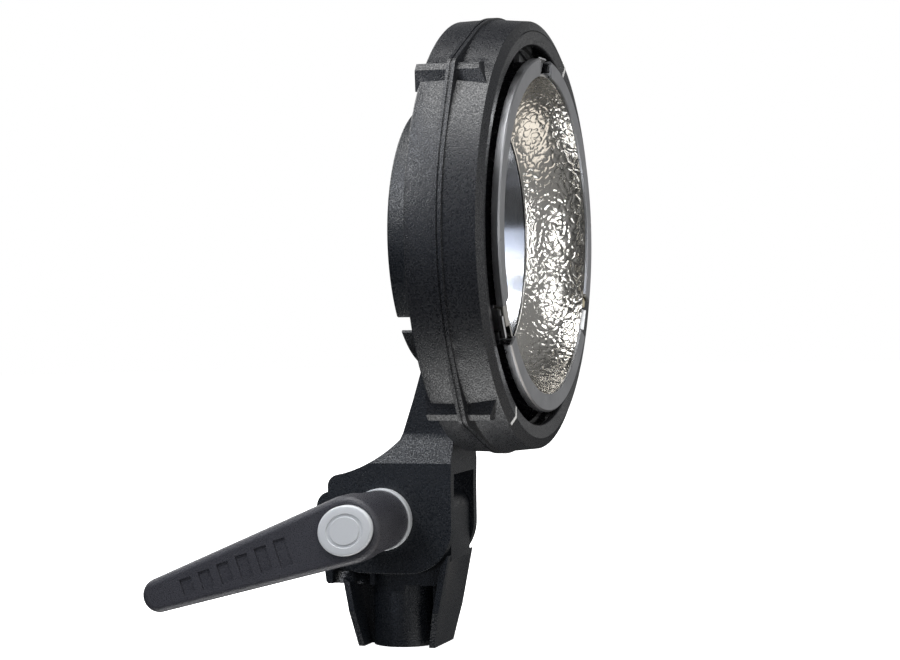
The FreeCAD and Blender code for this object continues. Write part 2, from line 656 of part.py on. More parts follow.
def make_lever():
    """Moulded lever on a threaded insert, with a sprung button in its end and a washer under it."""
    arm = hull_face(lever_outer_x, lever_hub_radius, lever_tip_radius, lever_length, PIVOT)
    arm = arm.extrude(Vector(lever_inner_x - lever_outer_x, 0, 0))
    rounded = [edge for edge in arm.Edges if abs(edge.BoundBox.XLength) < 1e-6]
    arm = arm.makeFillet(2.6, rounded)
    washer_face_x = -(cheek_outer_x + washer_thickness)
    hub_start = washer_face_x - 0.2
    hub_root = lever_inner_x - 2.0
    hub_place = Vector(hub_root, pivot_y, pivot_z)
    hub = Part.makeCone(hub_radius + 0.9, hub_radius, hub_start - hub_root, hub_place, X_AXIS)
    arm = arm.fuse(hub)
    spring_seat_x = -45.0
    spring_well_x = -53.0
    arm = arm.cut(rod_x(insert_radius + press_gap, insert_end_x - 0.2, -10, pivot_y, pivot_z))
    arm = arm.cut(rod_x(bolt_radius + 0.2, spring_seat_x - beyond, -10, pivot_y, pivot_z))
    button_gap = 0.35
    arm = arm.cut(oval_x(button_half_length + button_gap, button_half_height + button_gap,
                         lever_outer_x - beyond, -52.0))
    arm = arm.cut(rod_x(7.2, spring_well_x, spring_seat_x, pivot_y, pivot_z))
    for cutter in grip_grooves():
        arm = arm.cut(cutter)
    save("lever_handle", [lever_turned(arm)])
    insert = tube_x(insert_radius, bolt_radius + press_gap, insert_end_x, hub_start, pivot_y, pivot_z)
    save("lever_insert", [insert])
    screw_seat_x = insert_end_x - 0.1
    stop_screw = rod_x(4.6, screw_seat_x - 2.5, screw_seat_x, pivot_y, pivot_z)
    stop_screw = stop_screw.fuse(rod_x(lever_screw_radius, screw_seat_x - 0.1, -36.0, pivot_y, pivot_z))
    stop_screw = stop_screw.cut(rod_x(1.5, screw_seat_x - 4.0, screw_seat_x - 1.1, pivot_y, pivot_z))
    save("lever_screw", [stop_screw])
    washer = tube_x(washer_radius, bolt_radius + 0.3, washer_face_x, -cheek_outer_x, pivot_y, pivot_z)
    save("lever_washer", [washer])

    proud = 2.0
    button_face_x = lever_outer_x - proud
    button_back_x = -55.6
    button = oval_x(button_half_length, button_half_height, button_face_x, button_back_x)
    face_edges = [edge for edge in button.Edges if edge.BoundBox.XMax < button_face_x + 0.01]
    button = button.makeFillet(0.8, face_edges)
    button = button.fuse(rod_x(2.6, button_back_x - 0.1, -50.4, pivot_y, pivot_z))
    save("push_button", [lever_turned(button)])
    spring = tube_x(spring_radius, spring_radius - spring_wire, button_back_x + 0.1, spring_seat_x - 0.1,
                    pivot_y, pivot_z)
    save("button_spring", [spring])


make_grip_ring()
make_core()
make_reflector()
make_collar()
make_yoke()
make_socket()
make_lock_knob()
make_lever()
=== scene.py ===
"""Looks of a strobe reflector adapter: moulded nylon yoke and grip ring, hammered bowl, clamp lever.

Everything is in metres, in the row's own frame. Across the ring, "s" is the distance forwards
(towards -Y) of the ring's front edge, and clock angles run from the top towards +X.
"""
import json
import logging
import math
from dataclasses import dataclass, field
from enum import Enum

import bmesh
import bpy
from mathutils import Matrix, Vector, noise

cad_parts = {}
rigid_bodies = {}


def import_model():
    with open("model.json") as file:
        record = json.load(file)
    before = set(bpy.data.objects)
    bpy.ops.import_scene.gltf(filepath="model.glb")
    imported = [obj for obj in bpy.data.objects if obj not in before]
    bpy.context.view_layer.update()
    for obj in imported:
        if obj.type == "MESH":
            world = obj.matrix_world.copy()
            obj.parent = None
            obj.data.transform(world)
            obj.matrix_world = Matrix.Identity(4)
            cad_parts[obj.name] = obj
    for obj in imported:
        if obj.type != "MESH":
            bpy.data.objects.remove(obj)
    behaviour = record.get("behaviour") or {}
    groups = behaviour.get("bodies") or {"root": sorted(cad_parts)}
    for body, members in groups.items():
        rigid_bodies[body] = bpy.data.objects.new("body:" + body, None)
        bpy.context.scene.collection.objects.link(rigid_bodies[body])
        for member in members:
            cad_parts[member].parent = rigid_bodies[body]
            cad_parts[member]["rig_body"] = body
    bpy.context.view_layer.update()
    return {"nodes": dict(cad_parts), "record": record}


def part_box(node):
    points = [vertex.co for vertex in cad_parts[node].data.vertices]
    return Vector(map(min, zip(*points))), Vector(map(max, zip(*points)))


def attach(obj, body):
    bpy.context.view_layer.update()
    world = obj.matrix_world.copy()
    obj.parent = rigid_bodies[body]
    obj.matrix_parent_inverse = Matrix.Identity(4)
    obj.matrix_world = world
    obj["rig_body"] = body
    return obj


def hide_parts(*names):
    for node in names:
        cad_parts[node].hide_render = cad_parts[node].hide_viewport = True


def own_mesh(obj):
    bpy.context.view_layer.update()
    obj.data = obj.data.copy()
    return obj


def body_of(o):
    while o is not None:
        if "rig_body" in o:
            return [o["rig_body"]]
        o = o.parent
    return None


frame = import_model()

LOG = logging.getLogger("adapter")
MM = 0.001

Socket = bpy.types.NodeSocket
Colour = tuple[float, float, float, float]


# ---------------------------------------------------------------- node and mesh helpers
def linear(hex_colour: str) -> Colour:
    """Turn an sRGB hex colour into the linear one that shaders take.

    Args:
        hex_colour: Six hex digits, with or without a leading #.

    Returns:
        Linear red, green, blue and an alpha of 1.
    """
    digits = hex_colour.lstrip("#")
    channels = [int(digits[i:i + 2], 16) / 255 for i in (0, 2, 4)]
    lit = [c / 12.92 if c <= 0.04045 else ((c + 0.055) / 1.055) ** 2.4 for c in channels]
    return (lit[0], lit[1], lit[2], 1.0)


def add_node(tree: bpy.types.NodeTree, kind: str, settings: dict | None = None,
             inputs: dict | None = None) -> bpy.types.Node:
    """Add one shader node, set it up and link what feeds it.

    Args:
        tree: Node tree that gets the node.
        kind: Blender's type name of the node.
        settings: Properties of the node itself.
        inputs: Values or output sockets for its inputs, by name or index.

    Returns:
        The new node.
    """
    node = tree.nodes.new(kind)
    for name, value in (settings or {}).items():
        setattr(node, name, value)
    for name, value in (inputs or {}).items():
        if isinstance(value, bpy.types.NodeSocket):
            tree.links.new(value, node.inputs[name])
        else:
            node.inputs[name].default_value = value
    return node


def per_metre(size_mm: float) -> float:
    """Texture scale whose features are size_mm across on metre coordinates."""
    return 1.0 / (size_mm * MM)


def finished(mesh: bmesh.types.BMesh, name: str, sharp_degrees: float = 35.0) -> bpy.types.Object:
    """Close a bmesh into an object at the origin, smooth apart from its sharp edges.

    Args:
        mesh: The shape, in the row frame. It is freed.
        name: Name of the piece.
        sharp_degrees: Edges that turn more than this stay crisp.

    Returns:
        The linked object.
    """
    data = bpy.data.meshes.new(name)
    mesh.to_mesh(data)
    mesh.free()
    for face in data.polygons:
        face.use_smooth = True
    data.set_sharp_from_angle(angle=math.radians(sharp_degrees))
    piece = bpy.data.objects.new(name, data)
    bpy.context.scene.collection.objects.link(piece)
    return piece


def dress(piece: bpy.types.Object, material: bpy.types.Material) -> None:
    """Give a piece one material in place of whatever it had."""
    if not piece.data.materials:
        piece.data.materials.append(material)
    for slot in piece.material_slots:
        slot.material = material


# ---------------------------------------------------------------- finishes
class Surface(Enum):
    """How a metal's surface was made."""

    HAMMERED = "hammered"
    POLISHED = "polished"
    TURNED = "turned"
    PLATED = "plated"


@dataclass(frozen=True)
class MouldedPlastic:
    """Injection-moulded plastic: a fine spark-eroded grain that glints where light grazes it."""

    name: str
    colour: str
    pale_colour: str
    roughness: float
    grain_mm: float
    grain_depth_mm: float
    specular: float = 0.5
    coat: float = 0.0

    def build(self) -> bpy.types.Material:
        """Make the Blender material.

        Returns:
            The material, ready to assign.
        """
        material = bpy.data.materials.new(self.name)
        material.use_nodes = True
        tree = material.node_tree
        shader = tree.nodes["Principled BSDF"]
        place = add_node(tree, "ShaderNodeTexCoord").outputs["Object"]
        # slow tone drift over about 25 mm, as the resin flowed in the mould
        flow = add_node(tree, "ShaderNodeTexNoise", inputs={"Vector": place, "Scale": per_metre(25.0),
                                                            "Detail": 3.0}).outputs["Fac"]
        grain = add_node(tree, "ShaderNodeTexNoise", inputs={"Vector": place, "Scale": per_metre(self.grain_mm),
                                                             "Detail": 2.0, "Roughness": 0.6}).outputs["Fac"]
        tone = add_node(tree, "ShaderNodeMath", {"operation": "MULTIPLY_ADD"}, {0: flow, 1: 0.6, 2: -0.05})
        tone = add_node(tree, "ShaderNodeMath", {"operation": "MULTIPLY_ADD"}, {0: grain, 1: 0.45, 2: tone.outputs[0]})
        colour = add_node(tree, "ShaderNodeMix", {"data_type": "RGBA"}, {
            "Factor": tone.outputs[0], 6: linear(self.colour), 7: linear(self.pale_colour)}).outputs[2]
        rough = add_node(tree, "ShaderNodeMapRange", inputs={
            "Value": grain, "From Min": 0.38, "From Max": 0.62, "To Min": self.roughness - 0.14,
            "To Max": self.roughness + 0.22}).outputs[0]
        bump = add_node(tree, "ShaderNodeBump", inputs={
            "Height": grain, "Strength": 1.0, "Distance": self.grain_depth_mm * MM}).outputs[0]
        tree.links.new(colour, shader.inputs["Base Color"])
        tree.links.new(rough, shader.inputs["Roughness"])
        tree.links.new(bump, shader.inputs["Normal"])
        shader.inputs["Specular IOR Level"].default_value = self.specular
        shader.inputs["Coat Weight"].default_value = self.coat
        shader.inputs["Coat Roughness"].default_value = 0.08
        return material


@dataclass(frozen=True)
class BareMetal:
    """Bare or plated metal, with the marks its making left in it."""

    name: str
    colour: str
    stain: str
    roughness: float
    surface: Surface
    mark_mm: float
    mark_depth_mm: float

    def marks(self, tree: bpy.types.NodeTree, place: Socket) -> Socket:
        """Height pattern left by the tool.

        Args:
            tree: The material's node tree.
            place: Object coordinates.

        Returns:
            A value socket from 0 to 1.
        """
        if self.surface is Surface.TURNED:
            # lathe lines run round the ring axis, so they change only with the radius
            centre = add_node(tree, "ShaderNodeMapping", inputs={
                "Vector": place, "Location": (-RING.centre.x, -RING.centre.y, -RING.centre.z)})
            rings = add_node(tree, "ShaderNodeTexWave", {"wave_type": "RINGS", "rings_direction": "Y"}, {
                "Vector": centre.outputs[0], "Scale": per_metre(self.mark_mm) / 20.0, "Distortion": 0.6,
                "Detail": 3.0, "Detail Scale": 4.0})
            return rings.outputs["Fac"]
        detail = 1.0 if self.surface is Surface.POLISHED else 4.0
        return add_node(tree, "ShaderNodeTexNoise", inputs={
            "Vector": place, "Scale": per_metre(self.mark_mm), "Detail": detail}).outputs["Fac"]

    def build(self) -> bpy.types.Material:
        """Make the Blender material.

        Returns:
            The material, ready to assign.
        """
        material = bpy.data.materials.new(self.name)
        material.use_nodes = True
        tree = material.node_tree
        shader = tree.nodes["Principled BSDF"]
        shader.inputs["Metallic"].default_value = 1.0
        place = add_node(tree, "ShaderNodeTexCoord").outputs["Object"]
        height = self.marks(tree, place)
        cloud = add_node(tree, "ShaderNodeTexNoise", inputs={
            "Vector": place, "Scale": per_metre(9.0), "Detail": 4.0}).outputs["Fac"]
        colour = add_node(tree, "ShaderNodeMix", {"data_type": "RGBA"}, {
            "Factor": cloud, 6: linear(self.colour), 7: linear(self.stain)}).outputs[2]
        rough = add_node(tree, "ShaderNodeMapRange", inputs={
            "Value": cloud, "From Min": 0.3, "From Max": 0.7, "To Min": self.roughness * 0.8,
            "To Max": self.roughness * 1.25}).outputs[0]
        bump = add_node(tree, "ShaderNodeBump", inputs={
            "Height": height, "Strength": 1.0, "Distance": self.mark_depth_mm * MM}).outputs[0]
        tree.links.new(colour, shader.inputs["Base Color"])
        tree.links.new(rough, shader.inputs["Roughness"])
        tree.links.new(bump, shader.inputs["Normal"])
        return material


@dataclass(frozen=True)
class PaleFloor:
    """Matt white acrylic floor, faintly mottled and lit a little from beneath."""

    name: str
    colour: str
    mottle: str
    glow: float

    def build(self) -> bpy.types.Material:
        """Make the Blender material.

        Returns:
            The material, ready to assign.
        """
        material = bpy.data.materials.new(self.name)
        material.use_nodes = True
        tree = material.node_tree
        shader = tree.nodes["Principled BSDF"]
        shader.inputs["Roughness"].default_value = 0.9
        shader.inputs["Specular IOR Level"].default_value = 0.1
        shader.inputs["Emission Color"].default_value = (1.0, 1.0, 1.0, 1.0)
        shader.inputs["Emission Strength"].default_value = self.glow
        place = add_node(tree, "ShaderNodeTexCoord").outputs["Object"]
        cloud = add_node(tree, "ShaderNodeTexNoise", inputs={
            "Vector": place, "Scale": per_metre(300.0)}).outputs["Fac"]
        colour = add_node(tree, "ShaderNodeMix", {"data_type": "RGBA"}, {
            "Factor": cloud, 6: linear(self.colour), 7: linear(self.mottle)}).outputs[2]
        tree.links.new(colour, shader.inputs["Base Color"])
        return material


FINISHES = (
    # glass-filled nylon: matt black with a glassy grain, 0.5 mm so that it shows at this distance
    MouldedPlastic("black_nylon", "#0b0e12", "#1c2026", 0.32, 0.6, 0.18),
    MouldedPlastic("ring_nylon", "#0f1014", "#202226", 0.32, 0.6, 0.18),
    # the lever is moulded in a finer satin nylon
    MouldedPlastic("lever_nylon", "#2e2e33", "#3c3c42", 0.36, 0.45, 0.2),
    MouldedPlastic("bezel_grey", "#1c1d20", "#28292c", 0.3, 0.6, 0.012),
    # glossy black polycarbonate of the bayonet, nearly free of grain
    MouldedPlastic("gloss_black", "#08080a", "#101013", 0.16, 1.5, 0.004, 0.5, 0.4),
    MouldedPlastic("grey_plastic", "#c2c5c8", "#d2d4d6", 0.42, 0.45, 0.015),
    MouldedPlastic("ivory_acetal", "#d8cba8", "#e6dcc0", 0.35, 0.8, 0.01),
    MouldedPlastic("friction_fibre", "#4a3b30", "#6a5848", 0.85, 0.6, 0.08),
    MouldedPlastic("white_print", "#e4e4e2", "#f4f4f2", 0.5, 0.3, 0.01),
    MouldedPlastic("black_screw", "#121214", "#202024", 0.32, 0.5, 0.02, 0.7),
    # anodised and chemically brightened aluminium of the bowl
    BareMetal("hammered_aluminium", "#e4e2de", "#d0cdc6", 0.17, Surface.HAMMERED, 1.1, 0.02),
    BareMetal("polished_aluminium", "#f6f7f9", "#e6e9ee", 0.2, Surface.POLISHED, 14.0, 0.06),
    BareMetal("satin_aluminium", "#b4b5b8", "#a2a3a6", 0.33, Surface.TURNED, 0.35, 0.006),
    BareMetal("spring_steel", "#eeeff1", "#dcdee0", 0.38, Surface.PLATED, 1.5, 0.01),
    BareMetal("zinc_steel", "#b9bcc2", "#9da1a8", 0.28, Surface.PLATED, 0.8, 0.01),
    BareMetal("brass", "#c9a45a", "#a88442", 0.3, Surface.PLATED, 0.8, 0.01),
)


# ---------------------------------------------------------------- the ring's own coordinates
@dataclass(frozen=True)
class RingFrame:
    """Axis of the round parts: a centre on the ring's front edge plane, light leaving along -Y."""

    centre: Vector

    def point(self, radius_mm: float, s_mm: float, clock_degrees: float = 0.0) -> Vector:
        """Point at a radius, a distance forwards and a clock angle.

        Args:
            radius_mm: Distance from the axis.
            s_mm: Distance forwards of the ring's front edge.
            clock_degrees: Angle from the top towards +X.

        Returns:
            The point in the row frame, in metres.
        """
        angle = math.radians(clock_degrees)
        return self.centre + Vector((radius_mm * math.sin(angle), -s_mm, radius_mm * math.cos(angle))) * MM

    def place_of(self, spot: Vector) -> tuple[float, float]:
        """Distance forwards and radius of a point, both in millimetres."""
        away = (spot - self.centre) / MM
        return -away.y, math.hypot(away.x, away.z)

    def spin(self, outline: list[tuple[float, float]], steps: int, sectors: int = 1) -> bmesh.types.BMesh:
        """Turn a closed (radius, s) outline once round the axis.

        Args:
            outline: Points in millimetres, in order round the section.
            steps: Number of steps in the full turn.
            sectors: Equal parts that the turn is made from, several where it has very many steps.

        Returns:
            A closed bmesh with its faces outwards.
        """
        mesh = bmesh.new()
        corners = [mesh.verts.new(self.point(r, s)) for r, s in outline]
        edges = [mesh.edges.new((a, b)) for a, b in zip(corners, corners[1:] + corners[:1])]
        bmesh.ops.spin(mesh, geom=corners + edges, cent=self.centre, axis=(0, 1, 0), angle=math.tau / sectors,
                       steps=steps // sectors, use_merge=sectors == 1, use_duplicate=False)
        first = mesh.verts[:] + mesh.edges[:] + mesh.faces[:]
        for k in range(1, sectors):
            copied = bmesh.ops.duplicate(mesh, geom=first)["geom"]
            bmesh.ops.rotate(mesh, cent=self.centre, matrix=Matrix.Rotation(math.tau * k / sectors, 3, "Y"),
                             verts=[part for part in copied if isinstance(part, bmesh.types.BMVert)])
        bmesh.ops.remove_doubles(mesh, verts=mesh.verts, dist=2e-6)
        bmesh.ops.recalc_face_normals(mesh, faces=mesh.faces)
        return mesh


def ring_frame() -> RingFrame:
    """Ring axis from the turning ring's own box, on the plane of its front edge."""
    low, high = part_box("reflector_dish")
    rim_front_s = 3.5
    return RingFrame(Vector(((low.x + high.x) / 2, low.y + rim_front_s * MM, (low.z + high.z) / 2)))


RING = ring_frame()


# ---------------------------------------------------------------- moulded and machined pieces
@dataclass(frozen=True)
class SoftEdged:
    """A carried-over part whose edges get the small round a mould or a deburring gives them."""

    node: str
    round_mm: float
    segments: int = 2
    sharp_degrees: float = 30.0

    def build(self) -> bpy.types.Object:
        """Copy the part, merge it into flat faces and round its edges.

        Returns:
            The new piece, which stands for the part.
        """
        mesh = bmesh.new()
        mesh.from_mesh(frame["nodes"][self.node].data)
        bmesh.ops.remove_doubles(mesh, verts=mesh.verts, dist=2e-6)
        bmesh.ops.dissolve_limit(mesh, angle_limit=math.radians(0.4), verts=mesh.verts, edges=mesh.edges,
                                 use_dissolve_boundaries=False)
        piece = finished(mesh, self.node + "_moulded", self.sharp_degrees)
        bevel = piece.modifiers.new("edge_round", "BEVEL")
        bevel.width = self.round_mm * MM
        bevel.segments = self.segments
        bevel.limit_method = "ANGLE"
        bevel.angle_limit = math.radians(self.sharp_degrees)
        bevel.use_clamp_overlap = True
        bevel.miter_outer = "MITER_ARC"
        bevel.harden_normals = True
        return piece


@dataclass
class Housing:
    """Yoke, socket, ring and core: the moulded and turned parts that keep the frame's own shape."""

    edge_rounds: dict[str, float] = field(default_factory=lambda: {
        "stand_socket": 0.45, "yoke_bracket": 0.5, "rear_collar": 0.3, "core_housing": 0.25,
        "bayonet_seat": 0.2, "grip_ring_rear": 0.35, "grip_ring_front": 0.35, "front_bezel": 0.22,
        "rim_flange": 0.2, "spring_tabs": 0.12, "catch_pad": 0.3,
        "knob_grip": 0.4, "lever_washer": 0.3,
    })

    def build(self, finishes: dict[str, bpy.types.Material]) -> None:
        """Make every soft-edged piece and dress it.

        Args:
            finishes: Materials by the record's slot names.
        """
        slots = {part["node"]: part["material_slot"] for part in frame["record"]["subparts"]}
        for node, round_mm in self.edge_rounds.items():
            piece = SoftEdged(node, round_mm).build()
            place_piece(piece, node, slots[node], finishes)


def place_piece(piece: bpy.types.Object, node: str, slot: str, finishes: dict[str, bpy.types.Material]) -> None:
    """Ride a piece on its part's body, stand it for the part and dress it.

    Args:
        piece: The finished object.
        node: Part that it stands for.
        slot: Material slot of the record.
        finishes: Materials by slot name.
    """
    body = body_of(frame["nodes"][node])[0]
    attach(piece, body)
    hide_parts(node)
    dress(piece, finishes[slot])
    LOG.info("%s rides on %s, %d faces", piece.name, body, len(piece.data.polygons))


@dataclass
class Bowl:
    """Hammered bowl and the polished tube behind it."""

    mouth: tuple[float, float] = (60.75, 3.5)
    middle: tuple[float, float] = (56.6, -8.2)
    hole: tuple[float, float] = (47.5, -17.2)
    wall_mm: float = 0.9
    rows: int = 78
    steps: int = 1100
    sectors: int = 20
    cell_mm: float = 3.3
    ridge_mm: float = 0.5
    ridge_height_mm: float = 0.22
    dent_mm: float = 0.1
    tube_rear_s: float = -27.0
    tube_wall_mm: float = 0.75

    def arc(self, count: int, offset_mm: float) -> list[tuple[float, float]]:
        """Points along the bowl's curve, from its mouth to its hole.

        Args:
            count: Number of points.
            offset_mm: Distance outside the inner face.

        Returns:
            (radius, s) points in millimetres.
        """
        (x1, y1), (x2, y2), (x3, y3) = self.mouth, self.middle, self.hole
        det = 2 * (x1 * (y2 - y3) + x2 * (y3 - y1) + x3 * (y1 - y2))
        q1, q2, q3 = x1 * x1 + y1 * y1, x2 * x2 + y2 * y2, x3 * x3 + y3 * y3
        cx = (q1 * (y2 - y3) + q2 * (y3 - y1) + q3 * (y1 - y2)) / det
        cy = (q1 * (x3 - x2) + q2 * (x1 - x3) + q3 * (x2 - x1)) / det
        radius = math.hypot(x1 - cx, y1 - cy) + offset_mm
        first = math.atan2(y1 - cy, x1 - cx)
        last = math.atan2(y3 - cy, x3 - cx)
        turns = [first + (last - first) * k / (count - 1) for k in range(count)]
        return [(cx + radius * math.cos(t), cy + radius * math.sin(t)) for t in turns]

    def hammer(self, spot: Vector) -> float:
        """Height of the hammered face at a spot: shallow dents inside cells, broken ridges between.

        Args:
            spot: Place on the bowl, in metres.

        Returns:
            Height into the bowl, in metres.
        """
        wobble = noise.noise_vector(spot / (2.6 * MM)) * (0.42 * self.cell_mm * MM)
        near = noise.voronoi((spot + wobble) / (self.cell_mm * MM))[0]
        gap_mm = (near[1] - near[0]) * self.cell_mm
        broken = 0.5 + 0.5 * noise.noise(spot / (4.2 * MM))
        ridge = math.exp(-((gap_mm / self.ridge_mm) ** 2)) * (0.35 + 0.9 * broken)
        dent = (near[0] - 0.35) * self.dent_mm
        return (ridge * self.ridge_height_mm + dent) * MM

    def build(self, finishes: dict[str, bpy.types.Material]) -> None:
        """Make both pieces and dress them.

        Args:
            finishes: Materials by the record's slot names.
        """
        inner = self.arc(self.rows, 0.0)
        outer = self.arc(7, self.wall_mm)
        mesh = RING.spin(inner + outer[::-1], self.steps, self.sectors)
        self.dent_inner_face(mesh)
        bowl = finished(mesh, "hammered_bowl", 60.0)
        place_piece(bowl, "reflector_dish", "hammered_aluminium", finishes)

        r, rear, wall = self.hole[0], self.tube_rear_s, self.tube_wall_mm
        front = self.hole[1] - 1.15
        outline = [(r, front), (r + wall * 0.3, front + 0.05), (r + wall, front + 0.05), (r + wall, rear),
                   (r + wall * 0.3, rear), (r, rear + 0.2)]
        tube = finished(RING.spin(outline, 256), "polished_tube")
        place_piece(tube, "light_tube", "polished_aluminium", finishes)

    def dent_inner_face(self, mesh: bmesh.types.BMesh) -> None:
        """Raise and sink the inner face's points by the hammering, fading out at both rims.

        Args:
            mesh: The spun bowl.
        """
        spots = {}
        mesh.normal_update()
        inner = self.arc(24, 0.0)
        for vert in mesh.verts:
            s_mm, radius_mm = RING.place_of(vert.co)
            face_radius = self.radius_at(inner, s_mm)
            if abs(radius_mm - face_radius) < 0.2 * self.wall_mm:
                fade = min(1.0, (self.mouth[1] - s_mm) / 1.0, (s_mm - self.hole[1]) / 0.8)
                spots[vert] = vert.normal * self.hammer(vert.co) * max(0.0, fade)
        for vert, shift in spots.items():
            vert.co += shift

    @staticmethod
    def radius_at(points: list[tuple[float, float]], s_mm: float) -> float:
        """Radius of a falling (radius, s) line at a distance forwards, in millimetres.

        Args:
            points: The line, from its mouth to its hole.
            s_mm: Distance forwards of the ring's front edge.

        Returns:
            The radius.
        """
        for (r1, s1), (r2, s2) in zip(points, points[1:]):
            if s2 <= s_mm <= s1 + 1e-6:
                share = (s_mm - s1) / (s2 - s1)
                return r1 + (r2 - r1) * share
        return points[0][0] if s_mm > points[0][1] else points[-1][0]


@dataclass
class LeverButton:
    """Oval push button in the lever's end, with a plain sunk oval line, and the coil spring under it."""

    half_length_mm: float = 10.8
    half_height_mm: float = 9.3
    groove: tuple[float, float] = (0.56, 0.66)
    groove_depth_mm: float = 0.35
    coil_turns: float = 5.0
    coil_radius_mm: float = 5.3
    wire_mm: float = 0.4

    def build(self, finishes: dict[str, bpy.types.Material]) -> None:
        """Make the button and the spring and dress them.

        Args:
            finishes: Materials by the record's slot names.
        """
        low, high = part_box("push_button")
        spring_low, spring_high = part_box("button_spring")
        centre_y = (spring_low.y + spring_high.y) / 2
        centre_z = (spring_low.z + spring_high.z) / 2
        skirt_end = 5.4 * MM
        first, last = self.groove
        deep = self.groove_depth_mm * MM
        # share of the radius against depth below the top face
        steps = [(0.02, 0.0), (first - 0.02, 0.0), (first, deep), (last, deep), (last + 0.02, 0.0), (0.9, 0.0),
                 (0.955, 0.12 * MM), (0.985, 0.38 * MM), (1.0, 0.85 * MM), (1.0, skirt_end)]
        mesh = bmesh.new()
        line = [mesh.verts.new((depth, share, 0.0)) for share, depth in steps]
        line += [mesh.verts.new((skirt_end, 0.245, 0.0)), mesh.verts.new((high.x - low.x, 0.245, 0.0)),
                 mesh.verts.new((high.x - low.x, 0.02, 0.0))]
        edges = [mesh.edges.new((a, b)) for a, b in zip(line, line[1:])]
        bmesh.ops.spin(mesh, geom=line + edges, cent=(0, 0, 0), axis=(1, 0, 0), angle=math.tau, steps=96,
                       use_merge=True)
        bmesh.ops.remove_doubles(mesh, verts=mesh.verts, dist=1e-6)
        rims = [edge for edge in mesh.edges if edge.is_boundary]
        bmesh.ops.holes_fill(mesh, edges=rims, sides=0)
        bmesh.ops.recalc_face_normals(mesh, faces=mesh.faces)
        stretch = Matrix.Diagonal((1.0, self.half_length_mm * MM, self.half_height_mm * MM, 1.0))
        lean = Matrix.Rotation(lever_drop(), 4, "X")
        place = Matrix.Translation((low.x, centre_y, centre_z))
        bmesh.ops.transform(mesh, matrix=place @ lean @ stretch, verts=mesh.verts)
        button = finished(mesh, "oval_button", 40.0)
        place_piece(button, "push_button", "grey_plastic", finishes)

        spring = self.coil(spring_low.x, spring_high.x, centre_y, centre_z)
        place_piece(spring, "button_spring", "spring_steel", finishes)
        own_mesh(spring)

    def coil(self, start: float, end: float, y: float, z: float) -> bpy.types.Object:
        """Round-wire compression spring between two X planes.

        Args:
            start: Lowest X.
            end: Highest X.
            y: Axis Y.
            z: Axis Z.

        Returns:
            The spring as a mesh object.
        """
        curve = bpy.data.curves.new("coil_path", "CURVE")
        curve.dimensions = "3D"
        curve.bevel_depth = self.wire_mm * MM
        curve.bevel_resolution = 3
        curve.use_fill_caps = True
        spline = curve.splines.new("POLY")
        count = int(self.coil_turns * 32)
        spline.points.add(count)
        inset = self.wire_mm * MM
        for k, point in enumerate(spline.points):
            angle = math.tau * self.coil_turns * k / count
            x = start + inset + (end - start - 2 * inset) * k / count
            radius = self.coil_radius_mm * MM
            point.co = (x, y + radius * math.cos(angle), z + radius * math.sin(angle), 1.0)
        path = bpy.data.objects.new("coil_path", curve)
        bpy.context.scene.collection.objects.link(path)
        data = bpy.data.meshes.new_from_object(path.evaluated_get(bpy.context.evaluated_depsgraph_get()))
        bpy.data.objects.remove(path)
        bpy.data.curves.remove(curve)
        mesh = bmesh.new()
        mesh.from_mesh(data)
        bpy.data.meshes.remove(data)
        bmesh.ops.recalc_face_normals(mesh, faces=mesh.faces)
        return finished(mesh, "button_coil")


def lever_drop() -> float:
    """Angle that turns the lever's long way from +Y down to its rest, about +X."""
    drop_degrees = 18.8
    return -math.radians(drop_degrees)


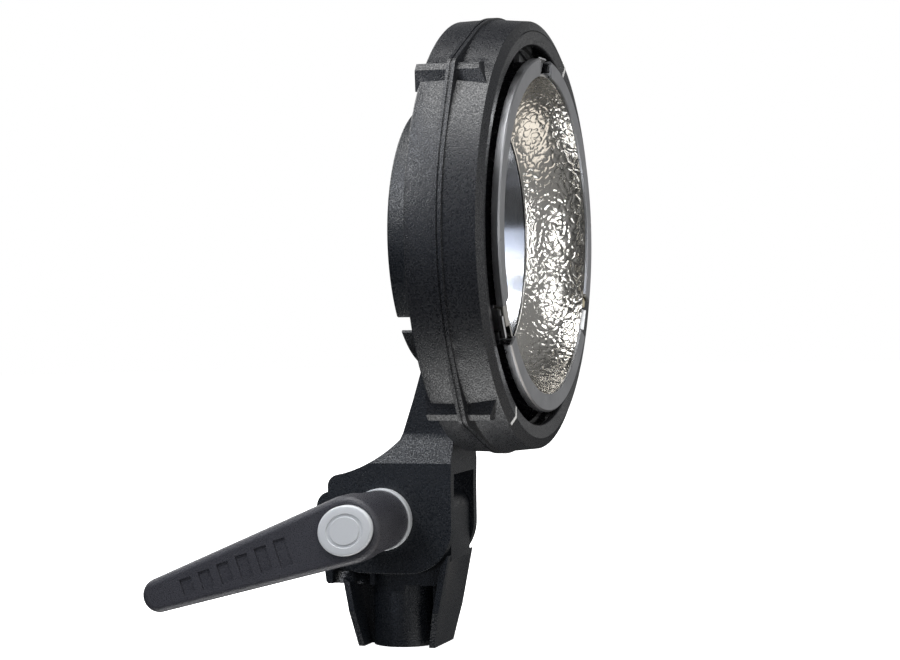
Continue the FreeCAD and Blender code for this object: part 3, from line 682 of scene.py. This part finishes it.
# ---------------------------------------------------------------- studio
@dataclass
class Studio:
    """Pale floor, soft lights and the camera."""

    camera_place: tuple[float, float, float] = (-0.88797, -0.29956, 0.14117)
    azimuth: float = -72.52
    elevation: float = 1.17
    roll: float = -0.94
    lens_mm: float = 96.0
    floor_radius: float = 3.0

    def build(self) -> None:
        """Set up world, floor, lights and camera."""
        self.world()
        self.floor()
        target = Vector((0.0, -0.03, 0.14))
        # name, place, size in metres, power in watts, colour
        soft_boxes = (
            ("overhead_box", (-0.33, 0.13, 1.3), (0.8, 0.8), 17.0, "#ffffff"),
            ("rear_top_box", (-0.66, 0.52, 0.85), (0.34, 0.34), 2.2, "#e2ebff"),
            ("kicker", (-0.27, 0.15, 0.31), (0.12, 0.12), 0.4, "#ffffff"),
            ("front_box", (-0.80, -0.95, 0.17), (0.34, 0.34), 2.6, "#ffffff"),
            ("front_top_box", (-0.42, -0.9, 1.0), (0.6, 0.5), 3.2, "#ffffff"),
            ("front_low_box", (0.26, -0.62, -0.5), (0.6, 0.45), 0.9, "#fff6ea"),
            ("front_strip", (0.12, -1.1, 0.2), (0.14, 0.6), 1.3, "#ffffff"),
            ("rear_box", (-1.1, 0.36, 0.26), (0.5, 0.5), 0.9, "#dfe9ff"),
            ("backdrop", (1.7, 0.0, 0.5), (2.6, 1.2), 2.6, "#ffffff"),
            ("rear_fill", (0.8, 1.2, 0.9), (0.9, 0.9), 9.0, "#ffffff"),
        )
        for name, place, size, power, colour in soft_boxes:
            self.soft_box(name, Vector(place), size, power, colour, target)
        panel_place = Vector((-0.08, 0.06, -0.5))
        self.soft_box("floor_panel", panel_place, (0.42, 0.42), 2.3, "#ffffff", panel_place + Vector((0, 0, 1)))
        self.camera()
        bpy.context.scene.view_settings.view_transform = "Standard"

    def world(self) -> None:
        """White backdrop; the room itself is dim, and brighter in front of the bowl."""
        world = bpy.data.worlds.new("studio_room")
        bpy.context.scene.world = world
        world.use_nodes = True
        tree = world.node_tree
        background = tree.nodes["Background"]
        direction = add_node(tree, "ShaderNodeTexCoord").outputs["Generated"]
        forwards = add_node(tree, "ShaderNodeSeparateXYZ", inputs={"Vector": direction}).outputs["Y"]
        ramp = add_node(tree, "ShaderNodeMapRange", {"interpolation_type": "SMOOTHSTEP"}, {
            "Value": forwards, "From Min": -0.1, "From Max": -0.6, "To Min": 0.04, "To Max": 0.24})
        seen = add_node(tree, "ShaderNodeLightPath").outputs["Is Camera Ray"]
        strength = add_node(tree, "ShaderNodeMix", {"data_type": "FLOAT"}, {
            "Factor": seen, 2: ramp.outputs[0], 3: 1.0})
        tree.links.new(strength.outputs[0], background.inputs["Strength"])
        background.inputs["Color"].default_value = (1.0, 1.0, 1.0, 1.0)

    def floor(self) -> None:
        """Round pale floor under the socket's mouth."""
        mesh = bmesh.new()
        bmesh.ops.create_circle(mesh, cap_ends=True, segments=96, radius=self.floor_radius)
        floor = finished(mesh, "pale_floor")
        dress(floor, PaleFloor("studio_floor", "#fbfbfb", "#f6f6f5", 1.02).build())
        floor.visible_glossy = False
        floor.visible_diffuse = False
        floor.visible_shadow = False

    def soft_box(self, name: str, place: Vector, size: tuple[float, float], power: float, colour: str,
                 target: Vector) -> None:
        """Add one rectangular soft light aimed at the object.

        Args:
            name: Name of the light.
            place: Centre of the light.
            size: Width and height in metres.
            power: Watts.
            colour: sRGB hex colour.
            target: Point it faces.
        """
        data = bpy.data.lights.new(name, "AREA")
        data.shape = "RECTANGLE"
        data.size, data.size_y = size
        data.energy = power
        data.color = linear(colour)[:3]
        lamp = bpy.data.objects.new(name, data)
        lamp.location = place
        lamp.rotation_euler = (target - place).to_track_quat("-Z", "Y").to_euler()
        lamp.visible_camera = False
        bpy.context.scene.collection.objects.link(lamp)

    def camera(self) -> None:
        """Add the camera on the lever's side, looking almost square to the ring's edge."""
        a, e, r = (math.radians(x) for x in (self.azimuth, self.elevation, self.roll))
        back = Vector((math.sin(a) * math.cos(e), -math.cos(a) * math.cos(e), math.sin(e)))
        level = Vector((math.cos(a), math.sin(a), 0.0))
        up = back.cross(level)
        right = level * math.cos(r) + up * math.sin(r)
        over = up * math.cos(r) - level * math.sin(r)
        data = bpy.data.cameras.new("view")
        data.lens = self.lens_mm
        data.sensor_width = 36.0
        data.clip_start = 0.01
        camera = bpy.data.objects.new("view", data)
        turn = Matrix((right, over, back)).transposed().to_4x4()
        camera.matrix_world = Matrix.Translation(self.camera_place) @ turn
        bpy.context.scene.collection.objects.link(camera)
        bpy.context.scene.camera = camera


def dress_carried_parts(finishes: dict[str, bpy.types.Material]) -> None:
    """Give every part that still shows its own shape its slot's finish.

    Args:
        finishes: Materials by the record's slot names.
    """
    for part in frame["record"]["subparts"]:
        node = frame["nodes"][part["node"]]
        if not node.hide_render:
            dress(node, finishes[part["material_slot"]])
            LOG.info("%s keeps its shape, in %s", part["node"], part["material_slot"])


def main() -> None:
    """Build the pieces in order, dress them and light them."""
    logging.basicConfig(level=logging.INFO, format="%(name)s: %(message)s")
    finishes = {finish.name: finish.build() for finish in FINISHES}
    for sub_assembly in (Housing(), Bowl(), LeverButton()):
        sub_assembly.build(finishes)
    dress_carried_parts(finishes)
    Studio().build()


if __name__ == "__main__":
    main()
